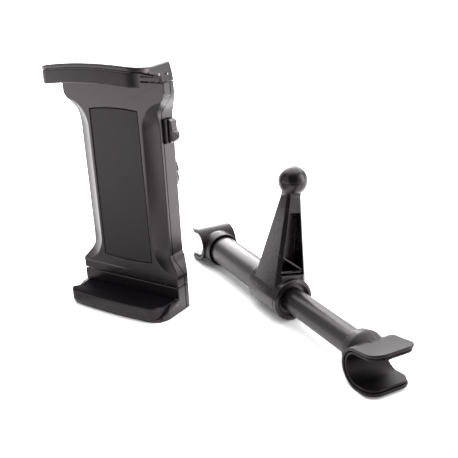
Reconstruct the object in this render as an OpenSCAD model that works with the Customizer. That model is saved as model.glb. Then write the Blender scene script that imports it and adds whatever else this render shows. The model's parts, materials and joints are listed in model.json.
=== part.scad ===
// Headrest tablet mount: a spring-button tablet cradle and the telescopic headrest bar that carries it.
// The cradle stands on its lower jaw, facing -Y. The bar lies beside it, undone at the ball joint.
// Millimetres, +Z up, origin on the surface below the front face of the cradle's body.

/* [Cradle body] */
// Width of the body at both jaws
body_w = 75; // [70:1:82]
// Width of the body at its waist
waist_w = 60; // [56:1:64]
// Depth of the body, front face to back face
body_d = 17; // [16:0.5:20]
// Height of the top of the shells above the surface
shell_top = 136.5; // [126:0.5:150]
// Height of the joint between the lower jaw and the shells
shell_foot = 16.3; // [15:0.1:18]
// Depth at which the front and back shells meet
seam_y = 6.5; // [6:0.5:7.5]
// Visible groove between the front and back halves of a housing
seam_gap = 0.35; // [0.2:0.05:0.5]
// Thickness of the moulded walls
wall = 2.2; // [1.8:0.1:2.6]
// Height taken by the flare from the waist to a jaw
flare_h = 13; // [10:1:16]
// Straight height beside each jaw before the flare starts
flare_start = 5; // [3:1:8]
// Width of the back's slanted corners, where the body is widest
back_chamfer = 6.5; // [4:0.5:8]
// Depth at which the back's slanted corners start
chamfer_y = 10; // [9:0.5:12]

/* [Front scoops] */
// Distance from the middle to the edge of a scoop
scoop_x = 20.1; // [19.5:0.1:22]
// Depth of a scoop where it meets the side of the waist
scoop_depth = 4.4; // [3:0.1:5]
// Distance from the middle to the centre line of a scoop
scoop_axis_x = 37; // [35:0.5:40]
// Height of the lower end of the scoops' straight part
scoop_z0 = 39.7; // [38:0.1:48]
// Height of the upper end of the scoops' straight part
scoop_z1 = 109; // [95:0.5:112]

/* [Front pad] */
// Half width of the pad at its lower edge
pad_half_low = 18.3; // [16:0.1:18.6]
// Half width of the pad at its upper edge
pad_half_top = 17.6; // [16:0.1:18.6]
// Height of the pad's lower corners
pad_z0 = 29; // [26:0.5:36]
// Height of the pad's upper corners
pad_z1 = 119.8; // [100:0.1:124]
// Rise of the arched edges of the pad
pad_arch = 1.2; // [0:0.1:2]
// Depth of the pad's recess
pad_recess = 1.6; // [1:0.1:1.8]
// Thickness of the pad
pad_t = 1.3; // [0.8:0.1:1.6]
// Groove left round the pad
pad_gap = 0.45; // [0.2:0.05:0.7]

/* [Jaws] */
// Height of the upper jaw's top above the shells, at its sides
jaw_h = 9.5; // [8:0.5:12]
// Extra height of the upper jaw at its middle
jaw_arch = 2.6; // [0:0.1:4]
// Reach of the jaws in front of the body
jaw_reach = 20.5; // [16:0.5:26]
// Thickness of the rim plate over each lip
jaw_rim = 2.5; // [2:0.1:3.5]
// Thickness of the shelf behind the lip
jaw_shelf = 5.6; // [5:0.1:7]
// Height of a soft lip, edge to rim plate
lip_h = 8.1; // [7:0.1:10]
// Thickness of a soft lip, front to back
lip_t = 6; // [4:0.5:8]
// Thickness of the soft liner on the shelf
liner_t = 1.4; // [1:0.1:2]
// Radius of a lip's corners, seen from above
lip_corner = 7; // [3:0.5:9]
// Radius of the hard plates' corners, seen from above
plate_corner = 10; // [7:0.5:12]
// Bulge of the lips' front edge, seen from above
lip_bulge = 1.2; // [0:0.1:3]
// Distance from a jaw's side to the end of its soft lip
lip_inset = 3; // [2:0.5:5]
// Height of the lower jaw's soft lip
low_lip_z = 10; // [9:0.5:11]
// Gap between the lower jaw and the shells
foot_gap = 0.6; // [0.3:0.1:1]
// Travel of the upper jaw when it opens
jaw_travel = 70; // [50:5:75]
// Gap between the upper jaw and the shells when closed
jaw_gap = 0.4; // [0.3:0.1:0.8]

/* [Jaw arms] */
// Distance from the middle to the inner edge of an arm
arm_x = 10.2; // [9.5:0.1:11]
// Width of an arm
arm_w = 7; // [6:0.5:7.5]
// Thickness of an arm
arm_t = 3; // [2.5:0.1:3.5]
// Length of an arm inside the body
arm_len = 105; // [90:1:106]
// Depth at which an arm starts, behind the front face
arm_y = 8.2; // [8:0.1:9]
// Distance between the ratchet teeth of an arm
tooth_pitch = 3.5; // [3:0.5:5]
// Depth of the ratchet teeth
tooth_depth = 1.1; // [0.8:0.1:1.5]
// Clearance round an arm in its slot
arm_clear = 0.3; // [0.3:0.05:0.5]

/* [Side buttons] */
// Height of the middle of the buttons
button_z = 108.3; // [96:0.1:110]
// Height of a button
button_h = 13.6; // [12:0.1:16]
// Depth of a button, front to back
button_d = 7.6; // [6:0.1:7.7]
// How far a button's rim stands out of the waist
button_proud = 4; // [3:0.1:5]
// Extra bulge of the thumb ridge on a button
button_ridge = 1.9; // [0:0.1:2.5]
// Travel of a button when it is pressed
button_travel = 2.2; // [1.5:0.1:2.5]
// Clearance round a button in its window
button_clear = 0.3; // [0.3:0.05:0.5]

/* [Ball socket] */
// Height of the ball socket on the back
socket_z = 76; // [66:1:80]
// Diameter of the ball that the socket takes
ball_d = 17; // [15:0.5:20]
// Clearance of the ball in the socket
ball_clear = 0.15; // [0.1:0.05:0.3]
// Radius of the socket's base plate
socket_base_r = 19; // [18:0.5:21]
// Thickness of the socket's base plate
socket_base_t = 2.6; // [2.4:0.1:4]
// Wall of the socket's fingers
finger_wall = 2.6; // [2:0.1:3.5]
// Width of the slots between the fingers
finger_slot = 2; // [1.5:0.1:3]
// Radius of the ring nut's grip
nut_r = 17.5; // [16:0.1:20]
// Length of the ring nut
nut_len = 16; // [15:0.5:18]
// Running clearance between the ring nut and the fingers
nut_clear = 0.08; // [0.05:0.01:0.1]

/* [Fasteners] */
// Radius of the shell screws' heads
screw_head_r = 2.7; // [2.2:0.1:3]
// Radius of the shell screws' shanks
screw_r = 1.4; // [1.2:0.1:1.6]
// Distance from the middle to the shell screws
screw_x = 23.3; // [23:0.1:24]
// Radius of the pins through the jaws' sides
pin_r = 0.6; // [0.5:0.1:1]

/* [Bar] */
// Distance of the bar's middle to the right of the origin
bar_x = 88.4; // [86:0.1:130]
// Distance of the bar's middle behind the origin
bar_y = 31.3; // [26:0.1:60]
// Turn of the bar from the cradle's width line
bar_yaw = -31.7; // [-40:0.1:-25]
// Diameter of the outer tube
outer_d = 19.5; // [18:0.5:20.5]
// Diameter of the inner tube
inner_d = 14.4; // [13:0.1:14.8]
// Wall of both tubes
tube_wall = 1.2; // [1:0.1:1.5]
// Length of the inner tube inside the outer tube
inner_overlap = 40; // [36:1:44]
// Travel of the inner tube inwards
tube_in = 40; // [30:1:40]
// Travel of the inner tube outwards
tube_out = 14; // [5:1:15]
// Running clearance of the inner tube in its bush
tube_clear = 0.08; // [0.05:0.01:0.1]

/* [Stalk and collar] */
// Radius of the collar round the outer tube
collar_r = 12.4; // [12:0.1:13.5]
// Half the length of the collar
collar_half = 17.4; // [16:0.2:22]
// Depth of the recess in the collar's mouth
collar_recess = 3; // [2:0.5:4]
// Height of the ball's centre above the bar's axis
ball_h = 66.5; // [60:0.5:75]
// Lean of the stalk round the bar
stalk_lean = 9; // [0:1:12]
// Half width of the stalk's neck
neck_half = 4.7; // [4.2:0.1:5.2]
// Half length of the stalk's base, along the bar
base_half_x = 14.8; // [13:0.1:15.4]
// Half width of the stalk's base, across the bar
base_half_y = 11.4; // [10:0.1:11.8]
// Wall of the stalk's pockets
pocket_wall = 2; // [1.6:0.1:2.6]
// Thickness of the web between the pockets
web_t = 2.4; // [1.8:0.1:3]
// Thickness of the pockets' ribs
rib_t = 1.3; // [1:0.1:1.8]

/* [Clips] */
// Distance from the bar's middle to a clip's seat
clip_x = 91.2; // [88:0.1:98]
// Inner radius of a clip's seat
seat_r = 7.6; // [7.3:0.1:8.2]
// Thickness of a clip's hard shell
clip_wall = 1.6; // [1.5:0.1:2]
// Thickness of a clip's soft liner
clip_liner_t = 1.7; // [1.5:0.1:2]
// Width of a clip along the headrest post
clip_w = 25.6; // [22:0.1:28]
// Reach of the straight arm beyond the seat's centre
short_arm = 11; // [9:0.5:12]
// Reach of the flared arm beyond the seat's centre
long_arm = 16.5; // [14:0.5:18]
// Rise of the flared arm's tip over its straight line
arm_rise = 1.3; // [0.5:0.1:2]
// Tilt of the hooks' mouths, away from the straight arm
hook_tilt = 8; // [0:0.5:10]
// Radius of the clips' corners, seen from above
clip_corner = 7; // [4:0.5:8]
// Step from a clip's sides in to its liner
liner_step = 0.5; // [0.3:0.1:1]
// Width of the groove between a clip's shell and its liner
liner_groove = 0.45; // [0.2:0.05:0.7]

/* [Hidden] */
$fn = 64;
eps = 0.01;
piece_gap = 0.05;
half_body = body_w / 2;
half_waist = waist_w / 2;
flare_steps = 8;
flare_low = shell_foot + flare_start;
flare_top = shell_top - flare_start - 1;
inner_back = body_d - wall;

function blend(t) = (1 - cos(180 * min(1, max(0, t)))) / 2;
function half_width(z) =
    half_waist + (half_body - half_waist)
    * max(1 - blend((z - flare_low) / flare_h), 1 - blend((flare_top - z) / flare_h));
function levels(z0, z1) = concat(
    [z0],
    [for (i = [0:flare_steps]) flare_low + flare_h * i / flare_steps],
    [for (i = [0:flare_steps]) flare_top - flare_h * (1 - i / flare_steps)],
    [z1]);
function outline(z0, z1, inset) = concat(
    [for (z = levels(z0, z1)) [half_width(z) - inset, z]],
    [for (z = [for (i = [2 * flare_steps + 3:-1:0]) levels(z0, z1)[i]]) [inset - half_width(z), z]]);
function arc(cx, cy, r, a0, a1, n) =
    [for (i = [0:n]) [cx + r * cos(a0 + (a1 - a0) * i / n), cy + r * sin(a0 + (a1 - a0) * i / n)]];
// Height of a parabolic arch over a half width, one at the middle and nothing at the ends
function arch(x, half) = 1 - (x / half) * (x / half);

module along_y(y0, y1) { translate([0, y1, 0]) rotate([90, 0, 0]) linear_extrude(y1 - y0) children(); }
module along_x(x0, x1) { translate([x0, 0, 0]) rotate([90, 0, 90]) linear_extrude(x1 - x0) children(); }
module along_z(z0, z1) { translate([0, 0, z0]) linear_extrude(z1 - z0) children(); }
module both_sides() { children(); mirror([1, 0, 0]) children(); }
module rod_y(x, z, y0, y1, r) { translate([x, y1, z]) rotate([90, 0, 0]) cylinder(r = r, h = y1 - y0); }
module rod_x(x0, x1, r) { translate([x0, 0, 0]) rotate([0, 90, 0]) cylinder(r = r, h = x1 - x0); }

// Plan of the body: square at the front, slanted corners at the back
module body_plan(inset) {
    w = half_body - inset;
    d = body_d - inset;
    c = back_chamfer;
    polygon([[-w, 0], [w, 0], [w, chamfer_y], [w - c, d], [c - w, d], [-w, chamfer_y]]);
}

// Scoops
scoop_a = scoop_axis_x - scoop_x;
scoop_b = scoop_axis_x - half_waist;
scoop_y = (scoop_b * scoop_b + scoop_depth * scoop_depth - scoop_a * scoop_a) / (2 * scoop_depth);
scoop_r = sqrt(scoop_a * scoop_a + scoop_y * scoop_y);
module scoop() {
    translate([scoop_axis_x, scoop_y, scoop_z0]) sphere(r = scoop_r, $fn = 96);
    translate([scoop_axis_x, scoop_y, scoop_z0]) cylinder(r = scoop_r, h = scoop_z1 - scoop_z0, $fn = 96);
    translate([scoop_axis_x, scoop_y, scoop_z1]) sphere(r = scoop_r, $fn = 96);
}

// Front pad, its recess and the front shell
arch_steps = 8;
function pad_outline(grow) = concat(
    [for (i = [-arch_steps:arch_steps]) let (x = i / arch_steps)
        [x * (pad_half_low + grow), pad_z0 - grow - pad_arch * arch(x, 1)]],
    [for (i = [arch_steps:-1:-arch_steps]) let (x = i / arch_steps)
        [x * (pad_half_top + grow), pad_z1 + grow + pad_arch * arch(x, 1)]]);
screw_levels = [shell_foot + 11, (shell_foot + shell_top) / 2, shell_top - 11];
thread_tip_y = 3.9;
edge_groove = 0.45;
shell_cavity_y = pad_recess + 1.8;
cavity_half = scoop_x - 1.1;
arm_out = arm_x + arm_w;

module front_shell() {
    color("#4b474a") difference() {
        along_y(0, seam_y) polygon(outline(shell_foot, shell_top, 0));
        along_y(-1, pad_recess) polygon(pad_outline(pad_gap));
        both_sides() scoop();
        along_y(shell_cavity_y, seam_y + 1)
            polygon([[-cavity_half, shell_foot + wall], [cavity_half, shell_foot + wall],
                     [cavity_half, shell_top - wall], [-cavity_half, shell_top - wall]]);
        both_sides() {
            for (z = screw_levels) rod_y(screw_x, z, thread_tip_y, seam_y + 1, screw_r);
            translate([half_body - edge_groove, edge_groove, flare_top])
                cube([1, edge_groove, shell_top - flare_top + 1]);
        }
    }
}

module front_pad() {
    color("#3f3b3c") along_y(pad_recess - pad_t, pad_recess) polygon(pad_outline(0));
}

// Back shell with screw pillars, arm guides, arm slots and button windows
pillar_r = screw_head_r + 1.3;
head_seat_y = body_d - 3;
guide_t = 1.4;
window_y0 = seam_y + 0.4;
window_y1 = window_y0 + button_d + 2 * button_clear;
window_z0 = button_z - button_h / 2 - button_clear;
window_z1 = button_z + button_h / 2 + button_clear;
slot_y0 = arm_y - arm_clear;
slot_y1 = arm_y + arm_t + arm_clear;
module arm_slots(z0, z1) {
    both_sides() translate([arm_x - arm_clear, slot_y0, z0])
        cube([arm_w + 2 * arm_clear, slot_y1 - slot_y0, z1 - z0]);
}

module back_shell() {
    color("#4b474a") difference() {
        union() {
            difference() {
                intersection() {
                    along_y(seam_y + seam_gap, body_d) polygon(outline(shell_foot, shell_top, 0));
                    along_z(shell_foot, shell_top) body_plan(0);
                }
                intersection() {
                    along_y(seam_y - 1, inner_back)
                        polygon(outline(shell_foot + wall, shell_top - wall, wall));
                    along_z(shell_foot, shell_top) body_plan(wall);
                }
            }
            both_sides() {
                for (z = screw_levels) rod_y(screw_x, z, seam_y + piece_gap, inner_back + eps, pillar_r);
                translate([arm_out + arm_clear, slot_y0, shell_foot + wall])
                    cube([guide_t, inner_back - slot_y0 + eps, window_z1 - shell_foot - wall]);
            }
        }
        both_sides() {
            for (z = screw_levels) {
                rod_y(screw_x, z, seam_y - 1, body_d, screw_r + piece_gap);
                rod_y(screw_x, z, head_seat_y, body_d + 1, screw_head_r + 0.3);
            }
            translate([half_waist - wall - button_travel - 1, window_y0, window_z0])
                cube([wall + button_travel + 3, window_y1 - window_y0, window_z1 - window_z0]);
            translate([arm_out, stem_y - 0.3, stem_z - 0.5])
                cube([2 * guide_t, inner_back - stem_y + 0.3, stem_h + 1]);
        }
        arm_slots(shell_top - wall - 1, shell_top + 1);
        arm_slots(shell_foot - 1, shell_foot + wall + 1);
        for (a = socket_screw_angles)
            translate([0, 0, socket_z]) rotate([0, a, 0])
                rod_y(socket_screw_r, 0, inner_back - 1, body_d + 1, screw_r);
    }
}

// Screws that hold the shells together, with a cross recess in each head
module screw(head_y, tip_y, head_r, shank_r) {
    difference() {
        union() {
            rod_y(0, 0, head_y, head_y + 1.8, head_r);
            rod_y(0, 0, tip_y, head_y + eps, shank_r);
        }
        for (a = [0, 90]) rotate([0, a, 0])
            translate([-head_r * 0.6, head_y + 0.9, -0.35]) cube([head_r * 1.2, 2, 0.7]);
    }
}
module shell_screws() {
    color("#2e2e30") both_sides() for (z = screw_levels)
        translate([screw_x, 0, z]) screw(head_seat_y, thread_tip_y + 0.2, screw_head_r, screw_r);
}

// Plan of a jaw: straight back edge, bulged front edge with round corners
corner_steps = 6;
function jaw_front(half, reach, r) =
    let (bulge = [for (i = [-arch_steps:arch_steps]) i / arch_steps])
    concat(
        [for (p = arc(r - half, r - reach, r, 180, 270, corner_steps)) p],
        [for (t = bulge) [t * (half - r), -reach - lip_bulge * arch(t, 1)]],
        [for (p = arc(half - r, r - reach, r, 270, 360, corner_steps)) p]);
module jaw_plan(half, reach, back, r = lip_corner) {
    polygon(concat(jaw_front(half, reach, r), [[half, back], [-half, back]]));
}
// Band between two arched edges, seen from the front
module arched_band(half, z_low, z_high, rise) {
    n = 2 * arch_steps;
    xs = [for (i = [-n:n]) half * i / n];
    polygon(concat([for (x = xs) [x, z_low + rise * arch(x, half_body)]],
                   [for (i = [2 * n:-1:0]) [xs[i], z_high + rise * arch(xs[i], half_body)]]));
}

// Upper jaw: block, shelf and rim plate in one moulding with its two ratchet arms
jaw_foot = shell_top + jaw_gap;
jaw_top = shell_top + jaw_h;
shelf_under = jaw_top - jaw_shelf;
rim_under = jaw_top - jaw_rim;
lip_half = half_body - lip_inset;
carrier_reach = jaw_reach - 1;
lip_back = lip_t - jaw_reach;
shelf_front = lip_back + piece_gap;
shelf_back = -1.5;
upper_pins = [[-2.7, jaw_top - 4.7], [4.7, jaw_top - 5.2]];
arm_foot = shell_top - arm_len;
tooth_count = floor((arm_len - 8) / tooth_pitch);
module ratchet_arm() {
    difference() {
        translate([arm_x, arm_y, arm_foot]) cube([arm_w, arm_t, arm_len + jaw_gap + 2]);
        for (i = [0:tooth_count - 1])
            along_y(arm_y - 1, arm_y + arm_t + 1)
                polygon([[arm_x - eps, arm_foot + 2 + i * tooth_pitch],
                         [arm_x + tooth_depth, arm_foot + 2 + i * tooth_pitch],
                         [arm_x - eps, arm_foot + 2 + (i + 0.85) * tooth_pitch]]);
    }
}
module rim_plan() { jaw_plan(half_body, carrier_reach, 1, plate_corner); }
module upper_jaw() {
    color("#555054") {
        difference() {
            union() {
                intersection() {
                    along_z(jaw_foot, jaw_top + jaw_arch + 1) body_plan(0);
                    along_y(0, body_d) arched_band(half_body, jaw_foot, jaw_top, 0);
                }
                intersection() {
                    along_y(0, body_d) arched_band(half_body, jaw_foot, jaw_top, jaw_arch);
                    along_z(jaw_top - jaw_shelf, jaw_top + jaw_arch + 1) body_plan(0);
                }
                // Shelf, whose underside slopes up to the rim plate
                intersection() {
                    along_z(shelf_under - 1, jaw_top + jaw_arch + 1) rim_plan();
                    along_x(-half_body, half_body)
                        polygon([[shelf_front, rim_under], [shelf_back, shelf_under], [1, shelf_under],
                                 [1, jaw_top + jaw_arch + 1], [shelf_front, jaw_top + jaw_arch + 1]]);
                    along_y(shelf_front, 1) arched_band(half_body, shelf_under - jaw_arch, jaw_top, jaw_arch);
                }
                intersection() {
                    along_z(rim_under - 1, jaw_top + jaw_arch + 1) rim_plan();
                    along_y(-jaw_reach - lip_bulge, 1) arched_band(half_body, rim_under, jaw_top, jaw_arch);
                }
            }
            both_sides() for (p = upper_pins) jaw_pin_hole(p[0], p[1]);
        }
        both_sides() ratchet_arm();
    }
}

// Pins that hold the soft lips, pressed in through both sides of a jaw
pin_len = 6;
module pin_rod(y, z, len) {
    translate([half_body - pin_len, y, z]) rotate([0, 90, 0]) cylinder(r = pin_r, h = len, $fn = 32);
}
module jaw_pin_hole(y, z) { pin_rod(y, z, pin_len + 1); }
module jaw_pin(y, z) { pin_rod(y, z, pin_len + 0.2); }
module upper_jaw_pins() { color("silver") both_sides() for (p = upper_pins) jaw_pin(p[0], p[1]); }

// Soft lip and the sloping liner under the upper jaw's shelf
lip_foot = rim_under - lip_h;
liner_back = -3;
liner_top = rim_under - piece_gap;
shelf_slope = (rim_under - shelf_under) / (shelf_back - shelf_front);
liner_back_top = shelf_under + shelf_slope * (shelf_back - liner_back) - piece_gap;
module upper_jaw_pad() {
    color("#39353a") intersection() {
        union() {
            along_y(-jaw_reach - lip_bulge, lip_back)
                arched_band(lip_half, lip_foot, rim_under - piece_gap, jaw_arch);
            along_x(-lip_half, lip_half)
                polygon([[lip_back - eps, liner_top - liner_t], [liner_back, liner_back_top - liner_t],
                         [liner_back, liner_back_top], [lip_back - eps, liner_top]]);
        }
        along_z(lip_foot - 1, jaw_top + jaw_arch) jaw_plan(lip_half, jaw_reach, 0);
    }
}

// Lower jaw: front moulding with the foot plate, side gussets and two short tongues
low_rim = 2;
low_block_top = shell_foot - foot_gap;
low_seam_gap = 0.5;
low_reach = jaw_reach - 1.5;
tongue_h = 12;
tongue_sink = 4;
tongue_root = 6;
gusset_run = 20;
gusset_h = 8.3;
gusset_toe_h = 2.1;
arm_foot_room = 1;
module lower_block(y0, y1, inset) {
    intersection() {
        along_z(0, low_block_top) body_plan(inset);
        translate([-half_body, y0, 0]) cube([body_w, y1 - y0, low_block_top]);
    }
}
module lower_jaw() {
    color("#555054") difference() {
        union() {
            lower_block(0, seam_y, 0);
            along_z(0, low_rim) jaw_plan(half_body, low_reach, 1, plate_corner);
            // Side gussets, which run out along the foot plate's round corners
            intersection() {
                along_z(0, low_block_top) jaw_plan(half_body, low_reach, 1, plate_corner);
                both_sides() along_x(lip_half + piece_gap, half_body)
                    polygon([[1, 0], [1, gusset_h], [-0.04 * gusset_run, gusset_h],
                             [-0.18 * gusset_run, gusset_h - 0.6],
                             [-0.5 * gusset_run, (gusset_h + gusset_toe_h) / 2 - 0.5],
                             [-0.85 * gusset_run, gusset_toe_h + 0.4],
                             [-gusset_run, gusset_toe_h], [-gusset_run, 0]]);
            }
            both_sides() translate([arm_x, arm_y, low_block_top - tongue_sink])
                cube([arm_w, arm_t, tongue_h + tongue_sink]);
        }
        // Longer arms come down into the tongues' place
        arm_slots(arm_foot - arm_foot_room, shell_top);
        both_sides() jaw_pin_hole(low_pin_y, low_pin_z);
        translate([-half_body + wall, wall, wall + low_rim])
            cube([body_w - 2 * wall, seam_y, low_block_top - 2 * wall - low_rim]);
    }
    color("#555054") both_sides()
        translate([arm_x, arm_y - tongue_root, low_block_top - wall - tongue_sink])
            cube([arm_w, tongue_root + eps, tongue_sink + wall]);
}
low_pin_y = -3;
low_pin_z = 6.3;
module lower_jaw_pins() { color("silver") both_sides() jaw_pin(low_pin_y, low_pin_z); }

module lower_jaw_cover() {
    color("#555054") difference() {
        lower_block(seam_y + low_seam_gap, body_d, 0);
        translate([-half_body + back_chamfer, seam_y - 1, wall])
            cube([body_w - 2 * back_chamfer, inner_back - seam_y + 1, low_block_top - 2 * wall]);
        // Notches round the tongues
        both_sides() translate([arm_x - arm_clear, seam_y - 1, low_block_top - wall - 1])
            cube([arm_w + 2 * arm_clear, slot_y1 - seam_y + 1, wall + 2]);
    }
}

// Soft block on the lower jaw: upright lip in front, dished deck behind it
deck_mid_z = 7.4;
deck_back_z = 8.6;
module lower_jaw_pad() {
    color("#353136") difference() {
        intersection() {
            along_z(low_rim + piece_gap, low_lip_z + 2) jaw_plan(lip_half, jaw_reach, 0);
            along_x(-lip_half, lip_half)
                polygon(concat([[-jaw_reach - lip_bulge, low_rim + piece_gap],
                                [-piece_gap, low_rim + piece_gap],
                                [-piece_gap, deck_back_z]],
                               [for (i = [0:6]) let (t = i / 6)
                                   [-1 - t * (jaw_reach - lip_t + 1),
                                    deck_back_z * (1 - t) + low_lip_z * t
                                    - (deck_back_z - deck_mid_z) * sin(180 * t)]],
                               [[-jaw_reach - lip_bulge, low_lip_z]]));
        }
        both_sides() jaw_pin_hole(low_pin_y, low_pin_z);
    }
}

// Side buttons: stepped thumb piece with a ridge, a stem and a hook that holds the ratchet arm
button_y = window_y0 + button_clear;
hook_clear = 0.35;
hook_w = 2.2;
stem_z = button_z - 2.5;
stem_h = 5;
stem_t = 1.2;
stem_y = slot_y1 + 0.2;
flange_x = half_waist - wall - 0.4;
flange_t = 1.7;
flange_lip = 1.4;
face_x = half_waist + button_proud;
button_step = 1.5;
button_groove = 0.5;
button_bevel = 1.4;
ridge_z = button_z - 3;
ridge_half = 3.2;
ridge_steps = 10;
module button_body() {
    intersection() {
        // Plan: low front step, groove, and the raised thumb face behind it
        along_z(button_z - button_h / 2, button_z + button_h / 2) polygon([
            [flange_x - eps, button_y], [half_waist + 1.6, button_y], [half_waist + 1.9, button_y + 0.3],
            [half_waist + 1.9, button_y + button_step], [half_waist + 1.2, button_y + button_step],
            [half_waist + 1.2, button_y + button_step + button_groove],
            [face_x - 0.4, button_y + button_step + button_groove],
            [face_x, button_y + button_step + button_groove + 0.4],
            [face_x + button_ridge, button_y + button_d - 1.4],
            [face_x + button_ridge, button_y + button_d - 0.5],
            [face_x + button_ridge - 0.5, button_y + button_d], [flange_x - eps, button_y + button_d]]);
        // Front view: bevelled ends and the short thumb ridge
        along_y(button_y, button_y + button_d) polygon(concat(
            [[flange_x - eps, button_z - button_h / 2], [face_x - button_bevel, button_z - button_h / 2],
             [face_x, button_z - button_h / 2 + button_bevel]],
            [for (i = [0:ridge_steps]) let (t = i / ridge_steps)
                [face_x + eps + button_ridge * sin(180 * t), ridge_z + (2 * t - 1) * ridge_half]],
            [[face_x, button_z + button_h / 2 - button_bevel], [face_x - button_bevel, button_z + button_h / 2],
             [flange_x - eps, button_z + button_h / 2]]));
    }
    // Flange that keeps the button inside the wall
    translate([flange_x - flange_t, button_y - 0.2, button_z - button_h / 2 - flange_lip])
        cube([flange_t, inner_back - button_y - 0.1, button_h + 2 * flange_lip]);
    // Stem over the arm, and the hook that reaches the teeth on the arm's inner edge
    translate([arm_x - hook_clear - hook_w, stem_y, stem_z])
        cube([flange_x - arm_x + hook_clear + 2, stem_t, stem_h]);
    translate([arm_x - hook_clear - hook_w, arm_y, stem_z]) cube([hook_w, stem_y - arm_y + eps, stem_h]);
}
module button_right() { color("#5a5559") button_body(); }
module button_left() { color("#5a5559") mirror([1, 0, 0]) button_body(); }

// Bent leaf spring between a button's flange and the guide rib
spring_t = 0.4;
spring_x0 = arm_out + arm_clear + guide_t;
spring_x1 = flange_x - flange_t;
spring_half = 5;
module button_spring() {
    along_y(arm_y, stem_y - 0.3) polygon([
        [spring_x1, button_z], [spring_x0 + spring_t, button_z + spring_half],
        [spring_x0, button_z + spring_half], [spring_x0, button_z + spring_half - 1],
        [spring_x1 - 1.2, button_z], [spring_x0, button_z + 1 - spring_half],
        [spring_x0, button_z - spring_half], [spring_x0 + spring_t, button_z - spring_half]]);
}
module button_spring_right() { color("silver") button_spring(); }
module button_spring_left() { color("silver") mirror([1, 0, 0]) button_spring(); }

// Ball socket on the back: base plate, slotted fingers and an open seat for the ball
seat_ball_r = ball_d / 2 + ball_clear;
finger_r = seat_ball_r + finger_wall;
ball_y = body_d + socket_base_t + seat_ball_r + 0.8;
finger_end = ball_y + seat_ball_r * 0.55;
socket_screw_r = socket_base_r - 4;
socket_screw_bite = 3.6;
driver_room = 8;
socket_screw_angles = [45, 135, 225, 315];
module ball_socket() {
    color("#454144") translate([0, 0, socket_z]) difference() {
        union() {
            rod_y(0, 0, body_d + piece_gap, body_d + socket_base_t, socket_base_r);
            rod_y(0, 0, body_d + socket_base_t - eps, finger_end, finger_r);
        }
        translate([0, ball_y, 0]) sphere(r = seat_ball_r, $fn = 96);
        rod_y(0, 0, ball_y, finger_end + 1, seat_ball_r * 0.86);
        for (a = [0, 45, 90, 135]) rotate([0, a + 22.5, 0])
            translate([-finger_r - 1, body_d + socket_base_t + 1.5, -finger_slot / 2])
                cube([2 * finger_r + 2, finger_end, finger_slot]);
        for (a = socket_screw_angles) rotate([0, a, 0]) {
            rod_y(socket_screw_r, 0, body_d - 1, body_d + driver_room, screw_r + piece_gap);
            rod_y(socket_screw_r, 0, body_d + 1.2, body_d + driver_room, 2.4);
        }
    }
}
module socket_screws() {
    color("#2e2e30") translate([0, 0, socket_z]) for (a = socket_screw_angles)
        rotate([0, a, 0]) translate([socket_screw_r, 0, 0])
            difference() {
                union() {
                    rod_y(0, 0, body_d + 1.2, body_d + 2.5, 2.1);
                    rod_y(0, 0, body_d - socket_screw_bite, body_d + 1.3, screw_r);
                }
                for (b = [0, 90]) rotate([0, b, 0])
                    translate([-1.3, body_d + 1.9, -0.3]) cube([2.6, 2, 0.6]);
            }
}

// Ring nut: lobed grip, running bore over the fingers and a closing lip round the ball's neck
nut_y0 = body_d + socket_base_t + 0.4;
nut_y1 = nut_y0 + nut_len;
nut_lobes = 12;
nut_mouth_clear = 0.4;
module ring_nut() {
    color("#4b474a") translate([0, 0, socket_z]) difference() {
        rod_y(0, 0, nut_y0, nut_y1, nut_r);
        rod_y(0, 0, nut_y0 - 1, finger_end + 0.3, finger_r + nut_clear);
        rod_y(0, 0, nut_y0, nut_y1 + 1, seat_ball_r + nut_mouth_clear);
        for (i = [0:nut_lobes - 1]) rotate([0, i * 360 / nut_lobes, 0])
            rod_y(nut_r + 1.2, 0, nut_y0 + 2, nut_y1 + 1, 2.2);
    }
}

// Bar: everything below is drawn along X with the tube's axis at the origin, then placed.
// It rests on the round of the near clip and on the flared arm of the far one.
outer_r = outer_d / 2;
inner_r = inner_d / 2;
outer_bore = outer_r - tube_wall;
shell_out_r = seat_r + clip_liner_t + clip_wall;
function flare(u) = arm_rise * pow(u / long_arm, 2);
tip_z = long_arm * sin(hook_tilt) + (shell_out_r + flare(long_arm)) * cos(hook_tilt);
floor_gap = 0.05;
axis_z = (tip_z + shell_out_r) / 2 + floor_gap;
clip_drop = (tip_z - shell_out_r) / 2;
module on_bar() { translate([bar_x, bar_y, axis_z]) rotate([0, 0, bar_yaw]) children(); }

mouth_x = collar_half - collar_recess;
far_tube_end = seat_r + clip_liner_t + 0.6 - clip_x;
near_tube_end = clip_x - shell_out_r - 0.8;
module outer_tube() {
    color("#5d5a5a") on_bar() difference() {
        rod_x(far_tube_end, mouth_x, outer_r);
        rod_x(far_tube_end - 1, mouth_x + 1, outer_bore);
    }
}
inner_start = mouth_x - inner_overlap;
module inner_tube() {
    color("#4a4848") on_bar() difference() {
        rod_x(inner_start, near_tube_end, inner_r);
        rod_x(inner_start - 1, near_tube_end + 1, inner_r - tube_wall);
    }
}
bush_len = 10;
module tube_bush() {
    color("#242325") on_bar() difference() {
        rod_x(mouth_x - bush_len, mouth_x, outer_bore - piece_gap);
        rod_x(mouth_x - bush_len - 1, mouth_x + 1, inner_r + tube_clear);
    }
}

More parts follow.
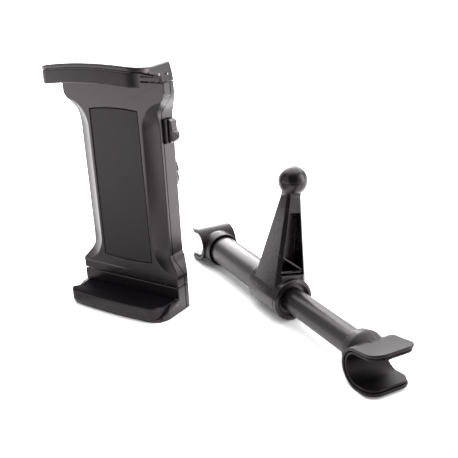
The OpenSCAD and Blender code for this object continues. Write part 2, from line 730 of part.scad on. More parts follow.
// Plug that the twist lock grips with: a grooved head and a spigot inside the inner tube
plug_head = 9;
plug_spigot = 8;
module lock_plug() {
    color("#242325") on_bar() difference() {
        union() {
            rod_x(inner_start - plug_head - 0.3, inner_start - 0.3, outer_bore - tube_clear);
            rod_x(inner_start - 1, inner_start + plug_spigot, inner_r - tube_wall - tube_clear);
        }
        for (x = [2.5, 5.5]) difference() {
            rod_x(inner_start - plug_head + x - 1.2, inner_start - plug_head + x, outer_bore + 1);
            rod_x(inner_start - plug_head + x - 2, inner_start - plug_head + x + 1, outer_bore - 1);
        }
    }
}

// Stalk and collar: one moulding, with a pocket on each side of a central web
stalk_top = ball_h - ball_d / 2 + 2.2;
neck_z = ball_h - ball_d / 2 - 0.4;
function stalk_half(base, z) = base + (neck_half - base) * z / neck_z;
module stalk_side(base) {
    polygon([[-base, 0], [base, 0], [neck_half, neck_z], [neck_half, stalk_top],
             [-neck_half, stalk_top], [-neck_half, neck_z]]);
}
pocket_z0 = 13.5;
pocket_z1 = 49;
module pocket(side) {
    x0 = side * (web_t / 2);
    y0 = stalk_half(base_half_y, pocket_z0) - pocket_wall;
    y1 = stalk_half(base_half_y, pocket_z1) - pocket_wall;
    along_x(min(x0, side * 20), max(x0, side * 20))
        polygon([[-y0, pocket_z0], [y0, pocket_z0], [y1, pocket_z1], [-y1, pocket_z1]]);
}
module stalk_ribs() {
    half = base_half_x - 4;
    intersection() {
        union() {
            along_x(-half, half) polygon([[-9, 24.6], [9, 14.2], [9, 14.2 + rib_t], [-9, 24.6 + rib_t]]);
            along_x(-half - 1, half + 1)
                polygon([[-9, 14.2], [9, 14.2], [9, 14.2 + rib_t], [-9, 14.2 + rib_t]]);
        }
        along_y(-base_half_y, base_half_y) stalk_side(base_half_x - 2.4);
        along_x(-base_half_x, base_half_x) stalk_side(base_half_y - 0.5);
    }
}
neck_chamfer = 1.4;
module stalk_body() {
    difference() {
        intersection() {
            along_y(-base_half_y - 1, base_half_y + 1) stalk_side(base_half_x);
            along_x(-base_half_x - 1, base_half_x + 1) stalk_side(base_half_y);
            for_corners();
        }
        pocket(1);
        pocket(-1);
    }
    stalk_ribs();
}
// Frustum turned by the base's diagonal, which takes the sharp corners off the stalk
module for_corners() {
    corner = base_half_x + base_half_y - 2 * neck_chamfer;
    neck_corner = 2 * neck_half - neck_chamfer;
    s = sqrt(0.5);
    intersection() {
        rotate([0, 0, 45]) along_y(-30, 30) corner_side(corner * s, neck_corner * s);
        rotate([0, 0, -45]) along_y(-30, 30) corner_side(corner * s, neck_corner * s);
    }
}
module corner_side(base, top) {
    polygon([[-base, 0], [base, 0], [top, neck_z], [top, stalk_top], [-top, stalk_top], [-top, neck_z]]);
}
collar_edge = 1.2;
module stalk_collar() {
    color("#3f3b3d") on_bar() rotate([-stalk_lean, 0, 0]) difference() {
        union() {
            rod_x(-collar_half + collar_edge, collar_half - collar_edge, collar_r);
            for (s = [-1, 1]) translate([s * (collar_half - collar_edge), 0, 0]) rotate([0, s * 90, 0])
                cylinder(r1 = collar_r, r2 = collar_r - collar_edge, h = collar_edge);
            stalk_body();
            translate([0, 0, ball_h]) sphere(r = ball_d / 2, $fn = 96);
        }
        rod_x(-collar_half - 1, collar_half + 1, outer_r + piece_gap);
        // Groove behind the rim of the mouth
        difference() {
            rod_x(collar_half - 4.2, collar_half - 3.7, collar_r + 1);
            rod_x(collar_half - 5, collar_half - 3, collar_r - 0.4);
            translate([collar_half - 6, -collar_r, 0]) cube([4, 2 * collar_r, collar_r + 1]);
        }
    }
}

// Clips: hooks with a round seat, one straight arm and one flared arm. The hooks are drawn
// with the seat's axis at the origin and the mouth towards +X, and are then tilted.
clip_steps = 14;
seat_steps = 36;
clip_far = 30;
seat_lap = 8;
function flared(r, tip) = [for (i = [1:clip_steps]) let (u = tip * i / clip_steps) [u, r + flare(u)]];
module hook_fill(r, side_step, tip_step) {
    long_tip = long_arm - tip_step;
    short_tip = short_arm - tip_step;
    along_y(-clip_w / 2 + side_step, clip_w / 2 - side_step)
        polygon(concat([[short_tip, -r]], arc(0, 0, r, 270, 90, seat_steps), flared(r, long_tip),
                       [[long_tip, 0], [short_tip, 0]]));
}
module hook_channel(r) {
    along_y(-clip_w, clip_w)
        polygon(concat([[clip_far, -r]], arc(0, 0, r, 270, 90, seat_steps), flared(r, long_arm),
                       [[clip_far, r + flare(long_arm)]]));
}
// Channel with a truly round seat for the post; its straight part laps into the round
module seat_channel(r) {
    lap_x = r * sin(seat_lap);
    lap_z = r * cos(seat_lap);
    rotate([90, 0, 0]) cylinder(r = r, h = 2 * clip_w, center = true, $fn = 96);
    along_y(-clip_w, clip_w)
        polygon(concat([[clip_far, -r], [2 * lap_x, -r], [lap_x, -lap_z], [lap_x, lap_z]],
                       [for (p = flared(r, long_arm)) if (p[0] > 2 * lap_x) p],
                       [[clip_far, r + flare(long_arm)]]));
}
// Takes the corners off both arms, seen from above
module corner_cuts(step) {
    w = clip_w / 2 - step;
    r = clip_corner;
    for (tip = [[long_arm - step, 0], [short_arm - step, -clip_far]]) for (side = [0, 1])
        mirror([0, side, 0]) translate([tip[0] - r, w - r, tip[1]]) difference() {
            cube([r + 2, r + 2, clip_far]);
            translate([0, 0, -1]) cylinder(r = r, h = clip_far + 2);
        }
}
// Length of tube that each clip's socket holds
near_grip = 5.2;
far_grip = 7;
socket_mouth = 2.5;
socket_shoulder_end = -8;
module clip_shell(tube_r, socket_start, tube_end, shoulder, mouth_r) {
    socket_r = max(shell_out_r + 0.2, tube_r + 2);
    difference() {
        union() {
            rotate([0, -hook_tilt, 0]) difference() {
                hook_fill(shell_out_r, 0, 0);
                corner_cuts(0);
            }
            // Round socket that takes the tube, centred on the tube's axis and tapered into the hook
            translate([0, 0, clip_drop]) rotate([0, 90, 0]) rotate_extrude()
                polygon([[0, socket_start], [shoulder, socket_start],
                         [min(shoulder + 1.6, socket_r - 0.3), socket_start + 1.6],
                         [socket_r, socket_shoulder_end - 2], [socket_r - 0.2, socket_shoulder_end],
                         [shell_out_r - clip_drop - 0.3, 0], [0, 0]]);
        }
        rotate([0, -hook_tilt, 0]) hook_channel(seat_r + clip_liner_t);
        translate([0, 0, clip_drop]) {
            rod_x(socket_start - 1, tube_end + piece_gap, tube_r + piece_gap);
            rod_x(socket_start - 1, socket_start + socket_mouth, mouth_r);
        }
    }
}
// Soft liner: full thickness inside, and a shallow groove to the shell along its edges
module clip_liner() {
    groove_w = 1.2;
    rotate([0, -hook_tilt, 0]) difference() {
        union() {
            hook_fill(seat_r + clip_liner_t - piece_gap, liner_step + groove_w, liner_step + groove_w);
            hook_fill(seat_r + clip_liner_t - liner_groove, liner_step, liner_step);
        }
        corner_cuts(liner_step);
        seat_channel(seat_r);
    }
}
module at_near_clip() { on_bar() translate([clip_x, 0, -clip_drop]) children(); }
module at_far_clip() { on_bar() rotate([0, 180, 0]) translate([clip_x, 0, -clip_drop]) children(); }
module near_clip_shell() {
    color("#454145") at_near_clip()
        clip_shell(inner_r, near_tube_end - clip_x - near_grip, near_tube_end - clip_x,
                   inner_r + 0.9, inner_r + 0.3);
}
module near_clip_liner() { color("#2b292c") at_near_clip() clip_liner(); }
module far_clip_shell() {
    color("#454145") at_far_clip()
        clip_shell(outer_r, -far_tube_end - clip_x - far_grip, -far_tube_end - clip_x,
                   outer_r + 1.5, outer_r + 1.2);
}
module far_clip_liner() { color("#2b292c") at_far_clip() clip_liner(); }

front_shell();
back_shell();
front_pad();
upper_jaw();
upper_jaw_pad();
upper_jaw_pins();
lower_jaw();
lower_jaw_cover();
lower_jaw_pad();
lower_jaw_pins();
button_left();
button_right();
button_spring_left();
button_spring_right();
shell_screws();
ball_socket();
socket_screws();
ring_nut();
outer_tube();
inner_tube();
tube_bush();
lock_plug();
stalk_collar();
near_clip_shell();
near_clip_liner();
far_clip_shell();
far_clip_liner();
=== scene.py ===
# %% [markdown]
# # A headrest tablet mount, dressed in Blender
# The construction is already packed as a frame of rigid pieces, in metres, with +Z up.
# This lesson gives those pieces their moulded edges, their plastics, rubbers and paint,
# and sets them on a pale floor under soft studio light.

import json
from math import cos, radians, sin

import bmesh
import bpy
from mathutils import Matrix, Vector


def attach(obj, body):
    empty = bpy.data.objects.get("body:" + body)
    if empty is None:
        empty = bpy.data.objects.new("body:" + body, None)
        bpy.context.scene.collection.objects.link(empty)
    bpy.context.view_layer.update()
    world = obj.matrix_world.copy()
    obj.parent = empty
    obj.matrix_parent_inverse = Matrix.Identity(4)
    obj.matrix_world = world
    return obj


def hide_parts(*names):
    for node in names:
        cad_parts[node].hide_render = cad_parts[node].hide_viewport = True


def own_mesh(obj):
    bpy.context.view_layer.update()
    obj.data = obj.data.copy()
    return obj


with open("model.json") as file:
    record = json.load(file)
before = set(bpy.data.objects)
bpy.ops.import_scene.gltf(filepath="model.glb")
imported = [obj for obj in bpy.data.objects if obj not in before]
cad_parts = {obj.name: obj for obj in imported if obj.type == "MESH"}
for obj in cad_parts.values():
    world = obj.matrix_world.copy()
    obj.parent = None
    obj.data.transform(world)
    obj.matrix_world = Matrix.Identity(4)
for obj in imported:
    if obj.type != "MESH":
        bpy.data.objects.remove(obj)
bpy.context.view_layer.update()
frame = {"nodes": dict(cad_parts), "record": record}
MM = 0.001

# %% [markdown]
# ## Camera
# The photograph was taken from a little above, in front and to the right of the cradle,
# close enough for some perspective. The place, the tilt and the lens were worked out
# beforehand from known points of the cradle and the bar, so the camera is set from them.
# The camera looks down by its pitch and leans by its roll, and nothing is shifted.

# %% Place the camera
CAMERA_PLACE = Vector((254.2, -279.2, 180.3)) * MM
LOOK_FLAT = Vector((-0.5399, 0.8417, 0.0)).normalized()  # the way it looks, seen from above
PITCH_DOWN = radians(20.0)
ROLL = radians(-2.68)
FOCAL_PIXELS = 650.0
IMAGE_PIXELS = 458.0
SENSOR_MM = 36.0
NEAREST_SEEN = 10 * MM

look = LOOK_FLAT * cos(PITCH_DOWN) - Vector((0, 0, sin(PITCH_DOWN)))
right = look.cross(Vector((0, 0, 1))).normalized()
up = right.cross(look)
image_right = cos(ROLL) * right + sin(ROLL) * up
image_up = cos(ROLL) * up - sin(ROLL) * right

camera_data = bpy.data.cameras.new("studio_camera")
camera_data.sensor_width = SENSOR_MM
camera_data.lens = FOCAL_PIXELS / IMAGE_PIXELS * SENSOR_MM
camera_data.clip_start = NEAREST_SEEN
camera = bpy.data.objects.new("studio_camera", camera_data)
axes = Matrix((image_right, image_up, -look)).transposed().to_4x4()
camera.matrix_world = Matrix.Translation(CAMERA_PLACE) @ axes
bpy.context.scene.collection.objects.link(camera)
bpy.context.scene.camera = camera
print("lens in mm:", round(camera_data.lens, 1))

# %% [markdown]
# ## Helpers for materials
# A screen colour is written as a hex number, but shaders work in linear light, so one
# function turns it. Another adds a node, sets its values and links its inputs in one call,
# which keeps each material short enough to read.

# %% Colours in linear light
def linear(hex_colour):
    """Linear RGBA of a colour such as #2b282a."""
    parts = [int(hex_colour[i:i + 2], 16) / 255 for i in (1, 3, 5)]
    flat = [p / 12.92 if p <= 0.04045 else ((p + 0.055) / 1.055) ** 2.4 for p in parts]
    return (*flat, 1.0)


print("a screen grey of one half in linear light:", round(linear("#808080")[0], 3))

# %% One call for a node, its settings and its links
def add_node(tree, kind, inputs, **settings):
    """Adds a node, sets its own settings, and links or sets its inputs by name or number."""
    node = tree.nodes.new(kind)
    for key, value in settings.items():
        setattr(node, key, value)
    for key, value in inputs.items():
        if isinstance(value, bpy.types.NodeSocket):
            tree.links.new(value, node.inputs[key])
        else:
            node.inputs[key].default_value = value
    return node


# A Mix node has sockets for numbers, vectors and colours under the same names, so the
# sockets of the colour kind are picked by their numbers.
MIX_FACTOR, MIX_FIRST, MIX_SECOND = 0, 6, 7
MIX_RESULT = 2
print("a colour is mixed from the sockets", MIX_FIRST, "and", MIX_SECOND)

# %% [markdown]
# ## Moulded surfaces
# The shells are ABS, moulded in a tool that was spark-eroded to a fine satin. That gives a
# soft grain of about a quarter of a millimetre, and a roughness that drifts a little where
# the surface has been handled. Real grain that fine would vanish in the picture, so it is
# drawn about twice as coarse. Rubber is duller and its grain is finer and flatter. Paint
# and nylon differ only in their numbers, so one function makes them all: a base of two
# close tones, a bump for the grain and a slow change of roughness.

# %% A function for moulded surfaces
HANDLED_PATCH_MM = 9
ROUGHNESS_DRIFT = 0.05
SHEEN_TINT = "#fff1f6"


def moulded(name, colour, dark, roughness, grain_mm, grain_depth_mm, specular=0.5):
    """A moulded or painted surface: two close tones, a grain bump and a drifting roughness."""
    material = bpy.data.materials.new(name)
    material.use_nodes = True
    tree = material.node_tree
    shader = tree.nodes["Principled BSDF"]
    shader.inputs["Specular IOR Level"].default_value = specular
    shader.inputs["Specular Tint"].default_value = linear(SHEEN_TINT)
    place = add_node(tree, "ShaderNodeTexCoord", {}).outputs["Object"]
    cloud = add_node(tree, "ShaderNodeTexNoise", {
        "Vector": place, "Scale": 1 / (HANDLED_PATCH_MM * MM), "Detail": 3.0})
    tone = add_node(tree, "ShaderNodeMix", {
        MIX_FACTOR: cloud.outputs["Fac"], MIX_FIRST: linear(dark), MIX_SECOND: linear(colour),
    }, data_type="RGBA")
    tree.links.new(tone.outputs[MIX_RESULT], shader.inputs["Base Color"])
    rough = add_node(tree, "ShaderNodeMapRange", {
        "Value": cloud.outputs["Fac"],
        "To Min": roughness - ROUGHNESS_DRIFT, "To Max": roughness + ROUGHNESS_DRIFT})
    tree.links.new(rough.outputs["Result"], shader.inputs["Roughness"])
    grain = add_node(tree, "ShaderNodeTexNoise", {
        "Vector": place, "Scale": 1 / (grain_mm * MM), "Detail": 2.0})
    bump = add_node(tree, "ShaderNodeBump", {
        "Height": grain.outputs["Fac"], "Strength": 1.0, "Distance": grain_depth_mm * MM})
    tree.links.new(bump.outputs["Normal"], shader.inputs["Normal"])
    return material


print("the grain and the tones read Object coordinates, in metres")

# %% Plastics of the cradle
# Spark-eroded satin: near black, with a wide soft sheen where a light stands behind it.
satin_abs = moulded(
    "satin_moulded_abs", "#0e0c0d", "#0b0a0b", roughness=0.3,
    grain_mm=0.5, grain_depth_mm=0.012)
# The front pad comes from a coarser tool: greyer and duller than the shell round it.
matte_abs = moulded(
    "matte_moulded_abs", "#161415", "#121011", roughness=0.55,
    grain_mm=0.5, grain_depth_mm=0.015, specular=0.3)
# Glass-filled nylon has a closed, resin-rich skin, so the stalk's lights are narrower.
glass_nylon = moulded(
    "glass_filled_nylon", "#0c0a0b", "#080707", roughness=0.27,
    grain_mm=0.6, grain_depth_mm=0.008, specular=0.3)
print("plastics:", satin_abs.name, matte_abs.name, glass_nylon.name)

# %% Rubbers
# The lips' rubber is a faint violet black, and its lights are low and soft.
grip_rubber = moulded(
    "moulded_grip_rubber", "#0c0a0d", "#0a080b", roughness=0.42,
    grain_mm=0.4, grain_depth_mm=0.01, specular=0.28)
# Painted shade: the deck's rubber is a touch darker than the lips', rough and coarse-grained,
# and reflects next to nothing, so it reads as flat black where the body shades the deck.
shaded_deck_rubber = moulded(
    "textured_grip_rubber", "#0c090d", "#09070a", roughness=0.9,
    grain_mm=0.4, grain_depth_mm=0.02, specular=0.03)
# The clips' liners are a deeper black than the clips, which parts the two.
liner_rubber = moulded(
    "moulded_liner_rubber", "#050405", "#040404", roughness=0.45,
    grain_mm=0.4, grain_depth_mm=0.01, specular=0.12)
print("rubbers:", grip_rubber.name, shaded_deck_rubber.name, liner_rubber.name)

# %% Surfaces of the bar and its fasteners
# Turned acetal is smooth and dark, with a calm reflection.
dark_acetal = moulded(
    "turned_black_acetal", "#0e0d0e", "#0b0a0b", roughness=0.35,
    grain_mm=0.5, grain_depth_mm=0.005)
# Baked paint flows out before it sets, so a clear band of light runs along each tube.
black_paint = moulded(
    "baked_black_paint", "#131112", "#0f0e0f", roughness=0.34,
    grain_mm=0.8, grain_depth_mm=0.01, specular=0.32)
# The clips' fine grain spreads the light, so they look flatter than the shells.
clip_nylon = moulded(
    "fine_grained_nylon", "#100e0f", "#0c0b0c", roughness=0.4,
    grain_mm=0.5, grain_depth_mm=0.012, specular=0.14)
# Black oxide leaves the screws a dark grey, a little paler than the plastics round them.
black_oxide = moulded(
    "black_oxide_steel", "#2b2b2d", "#222224", roughness=0.35,
    grain_mm=0.4, grain_depth_mm=0.005)
print("bar and fasteners:", dark_acetal.name, black_paint.name, clip_nylon.name, black_oxide.name)

# %% Bare steel for pins and springs
# Ground steel is the only bare metal, so the jaws' pins show as small bright dots.
pin_steel = moulded(
    "ground_spring_steel", "#8d8c90", "#77767a", roughness=0.4,
    grain_mm=0.3, grain_depth_mm=0.004)
pin_steel.node_tree.nodes["Principled BSDF"].inputs["Metallic"].default_value = 1.0
print("bare metal:", pin_steel.name)

# %% Give every frame node its material
NODE_MATERIALS = {
    satin_abs: [
        "front_shell", "back_shell", "upper_jaw", "lower_jaw", "lower_jaw_cover",
        "button_left", "button_right", "ring_nut"],
    clip_nylon: ["near_clip_shell", "far_clip_shell"],
    matte_abs: ["front_pad"],
    glass_nylon: ["ball_socket", "stalk_collar"],
    grip_rubber: ["upper_jaw_pad", "lower_jaw_pad"],
    liner_rubber: ["near_clip_liner", "far_clip_liner"],
    dark_acetal: ["tube_bush", "lock_plug"],
    black_paint: ["outer_tube", "inner_tube"],
    black_oxide: ["shell_screws", "socket_screws"],
    pin_steel: [
        "upper_jaw_pins", "lower_jaw_pins", "button_spring_left", "button_spring_right"],
}
for material, names in NODE_MATERIALS.items():
    for name in names:
        mesh = frame["nodes"][name].data
        mesh.materials.clear()
        mesh.materials.append(material)
dressed = sum(len(names) for names in NODE_MATERIALS.values())
print("nodes dressed:", dressed, "of", len(frame["nodes"]))

# %% [markdown]
# ## Moulded edges
# No moulded or pressed edge is sharp: a tool is radiused where steel meets steel, and the
# light that runs along those small rounds tells the eye how big an object is. A frame node
# is loose triangles, so a copy is merged first, its flat faces are joined again, and then
# only the edges that really turn are bevelled. The copy takes the node's place in the looks.

# %% Merge a node's loose triangles
MERGE_MM = 0.004
FLAT_WITHIN = radians(0.6)


def merged(node):
    """A bmesh of a node, with its triangles joined into the flat faces they came from."""
    shape = bmesh.new()
    shape.from_mesh(node.data)
    bmesh.ops.remove_doubles(shape, verts=shape.verts, dist=MERGE_MM * MM)
    bmesh.ops.dissolve_limit(
        shape, angle_limit=FLAT_WITHIN, verts=shape.verts, edges=shape.edges)
    shape.normal_update()
    return shape


front_shell_merged = merged(frame["nodes"]["front_shell"])
print("front shell:", len(frame["nodes"]["front_shell"].data.polygons), "triangles make",
      len(front_shell_merged.faces), "faces")
front_shell_merged.free()

# %% [markdown]
# A round that is wider than the wall beside it would cross itself, so each edge is measured
# first: how far its faces reach before the next sharp edge. A face with a window in it comes
# back from the merge in several parts, so the search covers all faces of the same plane.

# %% How much room an edge has for its round
NO_NEIGHBOUR = 1.0
TOUCHING = 1e-7
PARALLEL = 1e-9


def plane_of(face):
    """A key that faces in one plane share: their rounded normal and place along it, in mm."""
    place = face.normal.dot(face.verts[0].co) / MM
    return tuple(round(part, 2) for part in face.normal) + (round(place, 1),)


def room_beside(edge, face, neighbours):
    """Smallest distance from an edge, across its face's plane, to another sharp edge."""
    start, end = (v.co for v in edge.verts)
    middle = (start + end) / 2
    along = (end - start).normalized()
    loop = next(l for l in edge.link_loops if l.face == face)
    inward = face.normal.cross((loop.link_loop_next.vert.co - loop.vert.co).normalized())
    room, half = NO_NEIGHBOUR, edge.calc_length() / 2
    for other in neighbours:
        if other is edge:
            continue
        a, b = (v.co - middle for v in other.verts)
        ax, ay, bx, by = a.dot(inward), a.dot(along), b.dot(inward), b.dot(along)
        ends = [x for x, y in ((ax, ay), (bx, by)) if x > TOUCHING and abs(y) < half]
        room = min([room] + ends)
        if ay * by <= 0 and abs(ay - by) > PARALLEL:
            crossing = ax + (bx - ax) * ay / (ay - by)
            if crossing > TOUCHING:
                room = min(room, crossing)
    return room


print("an edge with nothing beside it has", round(NO_NEIGHBOUR / MM), "mm of room")

# %% [markdown]
# Some edges stay sharp. The two shells meet in a tight seam, the buttons stand close in
# their windows, and where a curved form runs out to a point there is no face left for a
# round. These edges are told by the place of their middle, in millimetres.

# %% Edges that stay sharp
SEAM_Y = 7.2
WINDOW_X, WINDOW_Y = 17, 16.5
WINDOW_Z, WINDOW_REACH = 108.4, 8.5
FLARE_X = 33
LOW_FLARE_Z, LOW_FLARE_REACH = 22.8, 1.5
HIGH_FLARE_Z, HIGH_FLARE_REACH = 126, 4.5
FOOT_FRONT_Y, FOOT_TOP_Z = -15, 3.5
JAW_SIDE_X, JAW_SIDE_REACH, JAW_PINS_Z = 35.5, 12, 143
NUT_BASE_Y = 22.5
STALK_NECK_Z = 69
BUTTON_FACE_X, BUTTON_FACE_Y = 32.5, 9.3
BUTTON_LOW_Z, BUTTON_HIGH_Z = 102.3, 108


def in_window(p):
    """True on the rim of a button's window in the back shell."""
    return abs(p.z - WINDOW_Z) < WINDOW_REACH and abs(p.x) > WINDOW_X and p.y < WINDOW_Y


def in_flare(p):
    """True where a flare of the front shell runs out into its straight side."""
    low = abs(p.z - LOW_FLARE_Z) < LOW_FLARE_REACH
    high = abs(p.z - HIGH_FLARE_Z) < HIGH_FLARE_REACH
    return abs(p.x) > FLARE_X and (low or high)


def in_button_face(p):
    """True on the lowest step and the upper front corner of a button's face."""
    upper_front = p.y < BUTTON_FACE_Y and p.z > BUTTON_HIGH_Z
    return abs(p.x) > BUTTON_FACE_X and (p.z < BUTTON_LOW_Z or upper_front)


PLAIN_EDGES = {
    "back_shell": lambda p: p.y < SEAM_Y or in_window(p),
    "front_shell": in_flare,
    "lower_jaw": lambda p: abs(p.x) > FLARE_X and p.y < FOOT_FRONT_Y and p.z < FOOT_TOP_Z,
    "upper_jaw": lambda p: (
        abs(p.x) > JAW_SIDE_X and abs(p.y) < JAW_SIDE_REACH and p.z < JAW_PINS_Z),
    "ring_nut": lambda p: p.y < NUT_BASE_Y,
    "stalk_collar": lambda p: p.z > STALK_NECK_Z,
    "button_left": in_button_face,
    "button_right": in_button_face,
}
print("nodes with some sharp edges:", len(PLAIN_EDGES))

# %% [markdown]
# A round that is narrowed by a tight spot would be narrow along its whole edge. So a short
# piece is split off at both ends of a long edge, and only those pieces give way. The
# stalk's pockets and the nut's lobes meet in short edges, which are rounded whole.

# %% Tag the edges that turn and split off their ends
TURNING = radians(28)
LONG_IN_ROUNDS = 6
END_IN_ROUNDS = 2
UNSPLIT = {"stalk_collar", "ring_nut"}


def tag_turning_edges(shape, name, widest_mm):
    """Tags the edges that turn, and splits a short piece off both ends of the long ones."""
    for edge in shape.edges:
        edge.tag = edge.is_manifold and edge.calc_face_angle(0) > TURNING
    if name in UNSPLIT:
        return
    long_mm = LONG_IN_ROUNDS * widest_mm
    long_edges = [e for e in shape.edges if e.tag and e.calc_length() > long_mm * MM]
    for edge in long_edges:
        for end in edge.verts[:]:
            share = END_IN_ROUNDS * widest_mm * MM / edge.calc_length()
            split_off, _ = bmesh.utils.edge_split(edge, end, share)
            split_off.tag = edge.tag = True


print("rounded whole:", sorted(UNSPLIT))

# %% Weigh each edge by the round it gets
ROOM_SHARE = 0.45
LOOKS_UP = 0.8
SEEN_ROUND_MM = 0.04


def weigh_edges(shape, name, width_mm, crown_mm):
    """Sets each edge's share of the widest round, and marks the edges that stay sharp."""
    weight = shape.edges.layers.float["bevel_weight_edge"]
    widest = crown_mm or width_mm
    plain = PLAIN_EDGES.get(name, lambda middle: False)
    sharp_in_plane = {}
    for face in shape.faces:
        turning = [edge for edge in face.edges if edge.tag]
        sharp_in_plane.setdefault(plane_of(face), set()).update(turning)
    for edge in shape.edges:
        if edge.tag:
            crowned = crown_mm and max(face.normal.z for face in edge.link_faces) > LOOKS_UP
            wanted = (crown_mm if crowned else width_mm) * MM
            room = min(
                room_beside(edge, face, sharp_in_plane[plane_of(face)])
                for face in edge.link_faces)
            middle = (edge.verts[0].co + edge.verts[1].co) / 2 / MM
            share = min(wanted, ROOM_SHARE * room) / (widest * MM)
            edge[weight] = 0.0 if plain(middle) else share
        edge.smooth = not edge.tag or edge[weight] * widest > SEEN_ROUND_MM


print("a round takes at most", ROOM_SHARE, "of the room beside its edge")

# %% [markdown]
# The Bevel modifier cuts the rounds by those weights. Weighted normals then keep the flat
# faces flat and let only the rounds turn the light, as on a real moulding. The finished
# copy rides on its node's body and stands for it.

# %% A softened copy of a frame node
BODY_OF = {
    node: body
    for body, nodes in frame["record"]["behaviour"]["bodies"].items() for node in nodes}


def softened(name, width_mm, crown_mm=None, reshape=None, segments=3):
    """A merged copy of a node with rounded edges, which stands for the node.

    Edges of the upper faces may have a wider round, the crown, and reshape may move a point.
    """
    widest = crown_mm or width_mm
    node = frame["nodes"][name]
    shape = merged(node)
    shape.edges.layers.float.new("bevel_weight_edge")
    tag_turning_edges(shape, name, widest)
    weigh_edges(shape, name, width_mm, crown_mm)
    if reshape:
        for vert in shape.verts:
            vert.co = reshape(vert.co / MM) * MM
    mesh = bpy.data.meshes.new(name + "_moulded")
    shape.to_mesh(mesh)
    shape.free()
    mesh.materials.append(node.data.materials[0])
    for face in mesh.polygons:
        face.use_smooth = True
    piece = bpy.data.objects.new(name + "_moulded", mesh)
    bpy.context.scene.collection.objects.link(piece)
    rounds = piece.modifiers.new("moulded_edges", "BEVEL")
    rounds.affect = "EDGES"
    rounds.limit_method = "WEIGHT"
    rounds.width = widest * MM
    rounds.segments = segments
    rounds.profile = 0.5
    rounds.use_clamp_overlap = False
    rounds.material = -1
    even = piece.modifiers.new("even_shading", "WEIGHTED_NORMAL")
    even.keep_sharp = True
    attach(piece, BODY_OF[name])
    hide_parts(name)
    return piece


print("bodies to ride on:", sorted(set(BODY_OF.values())))

# %% Round the edges of the plain mouldings
EDGE_ROUND_MM = {
    "front_shell": 0.45, "back_shell": 0.45, "front_pad": 0.2, "lower_jaw": 0.45,
    "lower_jaw_cover": 0.45, "button_left": 0.2, "button_right": 0.2, "ring_nut": 0.3,
    "stalk_collar": 0.3, "near_clip_shell": 0.45, "far_clip_shell": 0.45,
    "upper_jaw_pad": 1.1, "near_clip_liner": 0.25, "far_clip_liner": 0.25,
}
for name, width in EDGE_ROUND_MM.items():
    piece = softened(name, width)
    print(name, "edges rounded to", width, "mm,", len(piece.data.polygons), "faces")

# %% [markdown]
# ## The upper jaw's crown and the lower lip's deck
# The upper jaw has drawn-in back corners and a wide round along its top, which catches the
# light behind it as a pale band. Its copy is pulled in a little at the back and gets that
# wider round. The faces of the lower lip's deck that look up take a second rubber, a touch
# darker, rougher and with almost no reflection: painted shade for the body's shadow on the deck.

# %% Upper jaw
JAW_HALF_WIDTH = 37.5
DRAWN_FROM_Y, DRAWN_FULLY_Y = -4, 12
DRAWN_FROM_Z, DRAWN_FULLY_Z = 138, 146
DRAWN_IN_SHARE = 0.06
CORNER_LIFT = 1.0


def climb(value, start, end):
    """0 up to the start, 1 from the end on, and an even climb between them."""
    return min(1.0, max(0.0, (value - start) / (end - start)))


def drawn_in(point):
    """Pulls the jaw's back corners in and up towards the top."""
    back = climb(point.y, DRAWN_FROM_Y, DRAWN_FULLY_Y)
    high = climb(point.z, DRAWN_FROM_Z, DRAWN_FULLY_Z)
    pull = back * back * (3 - 2 * back) * high
    lift = CORNER_LIFT * pull * abs(point.x) / JAW_HALF_WIDTH
    return Vector((point.x * (1 - DRAWN_IN_SHARE * pull), point.y, point.z + lift))


upper_jaw = softened("upper_jaw", width_mm=0.35, crown_mm=1.1, reshape=drawn_in, segments=4)
print("upper jaw:", len(upper_jaw.data.polygons), "faces")

# %% Lower lip with its painted-shade deck
DECK_LOOKS_UP = 0.6

lower_lip = softened("lower_jaw_pad", width_mm=1.1, segments=4)
# The faces that look up get the darker, unreflecting rubber, which paints the deck's shade.
lower_lip.data.materials.append(shaded_deck_rubber)
for face in lower_lip.data.polygons:
    if face.normal.z > DECK_LOOKS_UP:
        face.material_index = 1
print("deck faces:", sum(face.material_index for face in lower_lip.data.polygons))

# %% [markdown]
# ## Button springs
# Each side button is pushed out by a bent leaf of spring steel that stands on the shell's
# inner wall. Each leaf is copied into its spring's place on the same body, and how far it
# reaches past the wall is printed.

# %% Copies of the leaf springs
SPRING_WALL_MM = 18.9


def sprung(side, sign):
    """Puts a copy of a spring's leaf in its place on the spring's body; gives its reach."""
    node = frame["nodes"]["button_spring_" + side]
    mesh = node.data.copy()
    piece = bpy.data.objects.new("button_spring_" + side + "_leaf", mesh)
    bpy.context.scene.collection.objects.link(piece)
    reach = max(sign * vert.co.x for vert in mesh.vertices) - SPRING_WALL_MM * MM
    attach(piece, BODY_OF[node.name])
    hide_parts(node.name)
    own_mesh(piece)
    return reach


for side, sign in (("left", -1), ("right", 1)):
    print(side, "spring's reach in mm:", round(sprung(side, sign) / MM, 2))

# %% [markdown]
# ## Studio
# The photograph is high key: a white floor lit to more than white, so that only the contact
# shadows stay, and a dark room behind the camera, which the faces turned to the camera
# reflect. A wide soft sun lights the whole floor evenly. Dark flags stand behind the camera
# and lie before the object, and they are seen in its reflections only.

# %% Floor and flags
STAGE_ROUGHNESS = 0.9


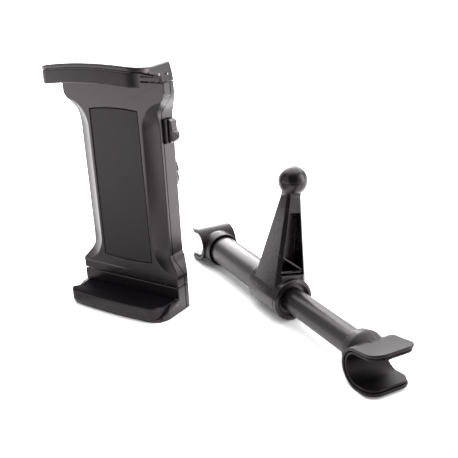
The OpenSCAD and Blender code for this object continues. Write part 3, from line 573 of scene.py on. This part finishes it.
def stage_plane(name, place_mm, size_mm, hex_colour, facing_mm=None, turned_deg=0, seen=False):
    """A plane of the studio: the floor, which is seen, or a flag that shows in reflections."""
    bpy.ops.mesh.primitive_plane_add(size=1.0, location=Vector(place_mm) * MM)
    plane = bpy.context.object
    plane.name = name
    plane.scale = (size_mm[0] * MM, size_mm[1] * MM, 1.0)
    plane.visible_camera = plane.visible_diffuse = plane.visible_shadow = seen
    plane.rotation_euler.z = radians(turned_deg)
    if facing_mm:
        line_of_sight = Vector(facing_mm) - Vector(place_mm)
        plane.rotation_euler = line_of_sight.to_track_quat("Z", "Y").to_euler()
    surface = bpy.data.materials.new(name + "_surface")
    surface.use_nodes = True
    shader = surface.node_tree.nodes["Principled BSDF"]
    shader.inputs["Base Color"].default_value = linear(hex_colour)
    shader.inputs["Roughness"].default_value = STAGE_ROUGHNESS
    shader.inputs["Specular IOR Level"].default_value = 0.0
    plane.data.materials.append(surface)


stage_plane("pale_floor", (0, 0, 0), (60000, 60000), "#f4f4f4", seen=True)
stage_plane("camera_side_flag", (430, -660, 500), (1300, 1150), "#040404", facing_mm=(0, 0, 70))
stage_plane("floor_flag", (372, -278, 1), (560, 500), "#050505", turned_deg=32.7)
stage_plane("foot_flag", (-70, -110, 1), (230, 190), "#8c8c8c", turned_deg=-33)

# %% White surroundings
SKY_STRENGTH = 1.25

bpy.context.scene.view_settings.view_transform = "Standard"
world = bpy.context.scene.world or bpy.data.worlds.new("studio_world")
bpy.context.scene.world = world
world.use_nodes = True
background = world.node_tree.nodes["Background"]
background.inputs["Color"].default_value = (1, 1, 1, 1)
background.inputs["Strength"].default_value = SKY_STRENGTH
print("strength of the surroundings:", SKY_STRENGTH)

# %% A wide soft sun
SUN_STRENGTH = 6.5
SUN_WIDTH = radians(90)
SUN_STANDS = Vector((-0.25, 0.55, 1.0))

sun_data = bpy.data.lights.new("wide_soft_sun", "SUN")
sun_data.energy = SUN_STRENGTH
sun_data.angle = SUN_WIDTH
sun = bpy.data.objects.new("wide_soft_sun", sun_data)
sun.rotation_euler = (-SUN_STANDS).to_track_quat("-Z", "Y").to_euler()
bpy.context.scene.collection.objects.link(sun)
print("the sun stands behind the object, towards", tuple(SUN_STANDS))

# %% Softboxes
OBJECT_MIDDLE_MM = (40, 20, 60)


def softbox(name, place_mm, size_mm, watts, target_mm=OBJECT_MIDDLE_MM):
    """An area light at a place, turned to face a target and not seen itself."""
    data = bpy.data.lights.new(name, "AREA")
    data.shape = "RECTANGLE"
    data.size = size_mm[0] * MM
    data.size_y = size_mm[1] * MM
    data.energy = watts
    light = bpy.data.objects.new(name, data)
    light.visible_camera = False
    light.location = Vector(place_mm) * MM
    beam = Vector(target_mm) - Vector(place_mm)
    light.rotation_euler = beam.to_track_quat("-Z", "Y").to_euler()
    bpy.context.scene.collection.objects.link(light)


softbox("back_left_softbox", (-808, 878, 320), size_mm=(760, 560), watts=16)
softbox("high_back_softbox", (-480, 720, 900), size_mm=(800, 500), watts=5)
softbox("right_card", (650, 300, 260), size_mm=(400, 500), watts=4, target_mm=(50, 30, 60))
